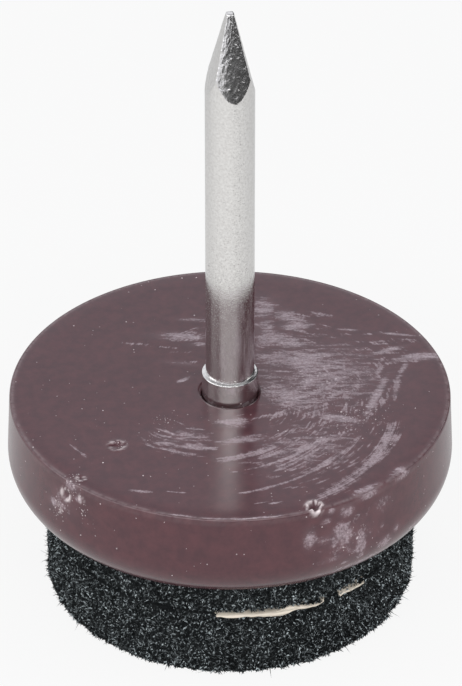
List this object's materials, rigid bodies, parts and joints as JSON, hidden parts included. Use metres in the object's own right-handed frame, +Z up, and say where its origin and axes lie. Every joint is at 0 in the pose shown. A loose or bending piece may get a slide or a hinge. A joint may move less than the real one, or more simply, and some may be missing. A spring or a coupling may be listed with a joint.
{
  "type": "nail-on felt furniture glide",
  "caption": "Round moulded furniture glide with a diamond-point nail standing from its flat top and a thick felt pad beneath, driven into a chair or table leg to slide quietly.",
  "frame": {"origin": "centre of the felt's underside, where the glide meets the floor", "axes": "+Z runs up the nail's axis, away from the floor; the front facet of the nail's point faces -Y, turned a few degrees"},
  "size_m": [0.022, 0.022, 0.032],
  "materials": {
    "nail_steel": "satin",
    "base_plastic": "satin",
    "felt": "matte",
    "glue": "satin"
  },
  "bodies": {
    "root": {"nail": "nail_steel", "glide_base": "base_plastic", "upper_felt_ply": "felt", "glue_film": "glue", "lower_felt_ply": "felt"}
  },
  "joints": []
}
